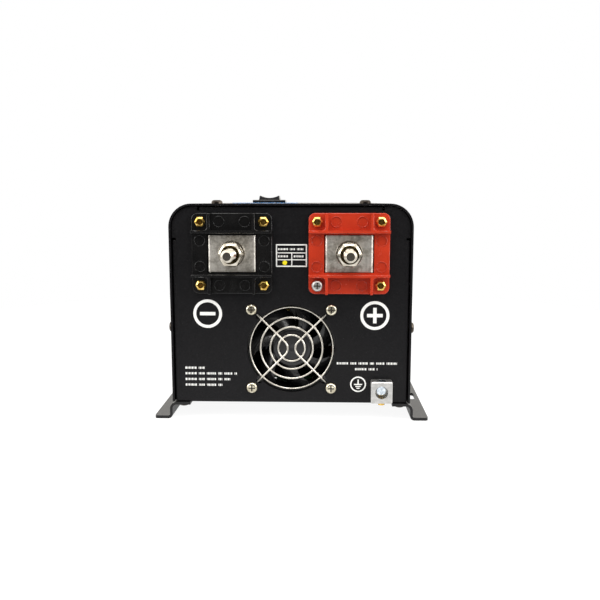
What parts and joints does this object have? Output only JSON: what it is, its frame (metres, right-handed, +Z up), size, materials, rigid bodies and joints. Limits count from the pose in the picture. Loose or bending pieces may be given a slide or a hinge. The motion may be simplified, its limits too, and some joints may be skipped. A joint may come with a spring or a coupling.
{
  "type": "power inverter",
  "caption": "Black steel-cased power inverter with stud battery terminals, guarded cooling fans, a ground lug, a top rocker switch, a mains outlet and slotted foot rails.",
  "frame": {"origin": "on the floor plane under the middle of the case, halfway between the four mounting slots", "axes": "+Z up, -Y out of the battery end, +Y out of the mains end, +X to the right when facing the battery end"},
  "size_m": [0.2172, 0.425, 0.1769],
  "materials": {
    "black_powder_coat": "fine satin powder coat",
    "blackened_screws": "black zinc",
    "black_moulding": "moulded, light gloss",
    "red_moulding": "moulded, light gloss",
    "fan_blades": "polished moulding",
    "nickel_plate": "nickel plate with handling marks",
    "polished_nickel": "polished nickel plate",
    "tinned_lug": "satin tin plate",
    "blue_zinc": "clear blue zinc plate",
    "zinc_screws": "bright zinc",
    "guard_wire": "plated wire",
    "brass": "turned brass",
    "copper_strap": "bare copper",
    "blue_overlay": "printed film",
    "rocker_black": "fine texture",
    "lamp_lens": "clear lens",
    "ivory_moulding": "moulded",
    "red_button": "moulded",
    "black_button": "moulded",
    "white_button": "moulded",
    "gland_nylon": "nylon",
    "coil_tape": "polyester tape",
    "pad_rubber": "moulded",
    "clamp_steel": "pressed",
    "circuit_board": "solder mask",
    "sink_aluminium": "extruded",
    "transistor_epoxy": "moulded epoxy",
    "capacitor_sleeve": "heat-shrink sleeve"
  },
  "bodies": {
    "case": {"base_pan": "black_powder_coat", "top_cover": "black_powder_coat", "dc_end_panel": "black_powder_coat", "ac_end_panel": "black_powder_coat", "left_foot_rail": "black_powder_coat", "right_foot_rail": "black_powder_coat", "cover_top_screws": "blackened_screws", "cover_side_screws": "blackened_screws", "foot_rail_screws": "blackened_screws", "negative_terminal_block": "black_moulding", "front_fan_housing": "black_moulding", "rear_fan_housing": "black_moulding", "power_switch_housing": "black_moulding", "input_breaker": "black_moulding", "output_breaker": "black_moulding", "battery_selector_switch": "black_moulding", "remote_port": "black_moulding", "positive_terminal_block": "red_moulding", "negative_contact_plate": "nickel_plate", "positive_contact_plate": "nickel_plate", "negative_stud": "polished_nickel", "positive_stud": "polished_nickel", "stud_nuts": "polished_nickel", "stud_flat_washers": "polished_nickel", "stud_spring_washers": "polished_nickel", "terminal_screw": "polished_nickel", "ground_lug": "tinned_lug", "fan_screws": "zinc_screws", "fan_nuts": "zinc_screws", "ground_fixing_screw": "zinc_screws", "transformer_bolt": "zinc_screws", "board_spacers": "zinc_screws", "front_fan_guard": "guard_wire", "rear_fan_guard": "guard_wire", "terminal_inserts": "brass", "ground_lug_bush": "brass", "negative_bus_strap": "copper_strap", "positive_bus_strap": "copper_strap", "control_overlay": "blue_overlay", "status_lights": "lamp_lens", "outlet": "ivory_moulding", "input_cable_gland": "gland_nylon", "output_cable_gland": "gland_nylon", "toroid_transformer": "coil_tape", "transformer_pads": "pad_rubber", "transformer_clamp": "clamp_steel", "power_board": "circuit_board", "control_board": "circuit_board", "heat_sinks": "sink_aluminium", "power_transistors": "transistor_epoxy", "capacitors": "capacitor_sleeve"},
    "front_rotor": {"front_fan_rotor": "fan_blades"},
    "rear_rotor": {"rear_fan_rotor": "fan_blades"},
    "rocker": {"power_switch_rocker": "rocker_black"},
    "reset_button": {"outlet_reset_button": "red_button"},
    "test_button": {"outlet_test_button": "black_button"},
    "input_plunger": {"input_breaker_button": "white_button"},
    "output_plunger": {"output_breaker_button": "white_button"},
    "selector_knob": {"battery_selector_knob": "black_moulding"},
    "clamp_screw": {"ground_clamp_screw": "blue_zinc"}
  },
  "joints": [
    {"name": "front_fan_spin", "type": "hinge", "parent": "case", "child": "front_rotor", "pos_m": [0.0005, -0.1795, 0.0568], "axis": [0, 1, 0], "continuous": true},
    {"name": "rear_fan_spin", "type": "hinge", "parent": "case", "child": "rear_rotor", "pos_m": [0.048, 0.1795, 0.0568], "axis": [0, 1, 0], "continuous": true},
    {"name": "rocker_tilt", "type": "hinge", "parent": "case", "child": "rocker", "pos_m": [-0.0253, -0.047, 0.171], "axis": [0, 1, 0], "range_deg": [-9, 9]},
    {"name": "reset_press", "type": "slide", "parent": "case", "child": "reset_button", "axis": [0, -1, 0], "range_m": [0, 0.001], "stiffness_N_per_m": 400},
    {"name": "test_press", "type": "slide", "parent": "case", "child": "test_button", "axis": [0, -1, 0], "range_m": [0, 0.001], "stiffness_N_per_m": 400},
    {"name": "input_breaker_trip", "type": "slide", "parent": "case", "child": "input_plunger", "axis": [0, 1, 0], "range_m": [0, 0.003]},
    {"name": "output_breaker_trip", "type": "slide", "parent": "case", "child": "output_plunger", "axis": [0, 1, 0], "range_m": [0, 0.003]},
    {"name": "battery_selector_turn", "type": "hinge", "parent": "case", "child": "selector_knob", "pos_m": [0.03, 0.1795, 0.136], "axis": [0, -1, 0], "range_deg": [0, 324]},
    {"name": "ground_clamp_lift", "type": "slide", "parent": "case", "child": "clamp_screw", "axis": [0, 0, 1], "range_m": [0, 0.004]}
  ]
}
